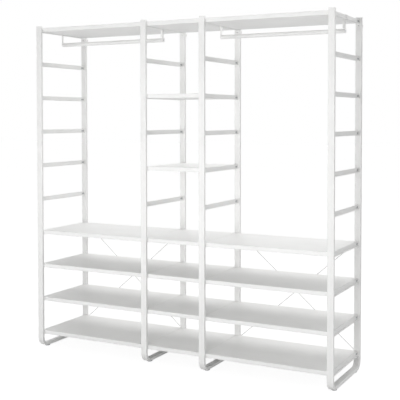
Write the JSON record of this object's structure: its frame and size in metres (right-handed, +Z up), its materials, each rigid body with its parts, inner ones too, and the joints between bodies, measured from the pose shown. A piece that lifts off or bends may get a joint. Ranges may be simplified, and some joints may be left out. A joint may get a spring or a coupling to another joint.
{
  "type": "storage shelving system",
  "caption": "Open wardrobe shelving: bent-tube side units with shelf bearers carry white boards; clothes rails hang in the wide sections and crossed rods brace the back.",
  "frame": {"origin": "floor level, at the middle of the width and of the whole depth", "axes": "+X to the right seen from the front, +Y from the open front to the wall, +Z up"},
  "size_m": [2.064, 0.524, 2.132],
  "materials": {
    "frame_steel": "satin white powder coat",
    "shelf_board": "white foil on particle board",
    "white_plastic": "matte white",
    "grey_plastic": "matte grey",
    "zinc_steel": "zinc plated"
  },
  "bodies": {
    "frame": {"brace_nuts": "zinc_steel", "brace_rod_left_back": "frame_steel", "brace_rod_left_front": "frame_steel", "brace_rod_right_back": "frame_steel", "brace_rod_right_front": "frame_steel", "brace_screws": "zinc_steel", "brace_spacers": "zinc_steel", "foot_nuts": "zinc_steel", "leg_caps": "white_plastic", "rail_hangers_left": "frame_steel", "rail_hangers_right": "frame_steel", "rail_plugs": "grey_plastic", "rail_screws": "zinc_steel", "rail_tube_left": "frame_steel", "rail_tube_right": "frame_steel", "shelf_bearers_1": "frame_steel", "shelf_bearers_2": "frame_steel", "shelf_bearers_3": "frame_steel", "shelf_bearers_4": "frame_steel", "shelf_left_1": "shelf_board", "shelf_left_2": "shelf_board", "shelf_left_3": "shelf_board", "shelf_left_4": "shelf_board", "shelf_left_5": "shelf_board", "shelf_middle_1": "shelf_board", "shelf_middle_2": "shelf_board", "shelf_middle_3": "shelf_board", "shelf_middle_4": "shelf_board", "shelf_middle_5": "shelf_board", "shelf_middle_6": "shelf_board", "shelf_middle_7": "shelf_board", "shelf_right_1": "shelf_board", "shelf_right_2": "shelf_board", "shelf_right_3": "shelf_board", "shelf_right_4": "shelf_board", "shelf_right_5": "shelf_board", "side_frame_1": "frame_steel", "side_frame_2": "frame_steel", "side_frame_3": "frame_steel", "side_frame_4": "frame_steel", "wall_spacers": "white_plastic"},
    "foot_1_front": {"foot_pad_1_front": "grey_plastic", "foot_stud_1_front": "zinc_steel"},
    "foot_1_rear": {"foot_pad_1_rear": "grey_plastic", "foot_stud_1_rear": "zinc_steel"},
    "foot_2_front": {"foot_pad_2_front": "grey_plastic", "foot_stud_2_front": "zinc_steel"},
    "foot_2_rear": {"foot_pad_2_rear": "grey_plastic", "foot_stud_2_rear": "zinc_steel"},
    "foot_3_front": {"foot_pad_3_front": "grey_plastic", "foot_stud_3_front": "zinc_steel"},
    "foot_3_rear": {"foot_pad_3_rear": "grey_plastic", "foot_stud_3_rear": "zinc_steel"},
    "foot_4_front": {"foot_pad_4_front": "grey_plastic", "foot_stud_4_front": "zinc_steel"},
    "foot_4_rear": {"foot_pad_4_rear": "grey_plastic", "foot_stud_4_rear": "zinc_steel"}
  },
  "joints": [
    {"name": "level_1_front", "type": "slide", "parent": "frame", "child": "foot_1_front", "axis": [0, 0, -1], "range_m": [0, 0.008]},
    {"name": "level_1_rear", "type": "slide", "parent": "frame", "child": "foot_1_rear", "axis": [0, 0, -1], "range_m": [0, 0.008]},
    {"name": "level_2_front", "type": "slide", "parent": "frame", "child": "foot_2_front", "axis": [0, 0, -1], "range_m": [0, 0.008]},
    {"name": "level_2_rear", "type": "slide", "parent": "frame", "child": "foot_2_rear", "axis": [0, 0, -1], "range_m": [0, 0.008]},
    {"name": "level_3_front", "type": "slide", "parent": "frame", "child": "foot_3_front", "axis": [0, 0, -1], "range_m": [0, 0.008]},
    {"name": "level_3_rear", "type": "slide", "parent": "frame", "child": "foot_3_rear", "axis": [0, 0, -1], "range_m": [0, 0.008]},
    {"name": "level_4_front", "type": "slide", "parent": "frame", "child": "foot_4_front", "axis": [0, 0, -1], "range_m": [0, 0.008]},
    {"name": "level_4_rear", "type": "slide", "parent": "frame", "child": "foot_4_rear", "axis": [0, 0, -1], "range_m": [0, 0.008]}
  ]
}
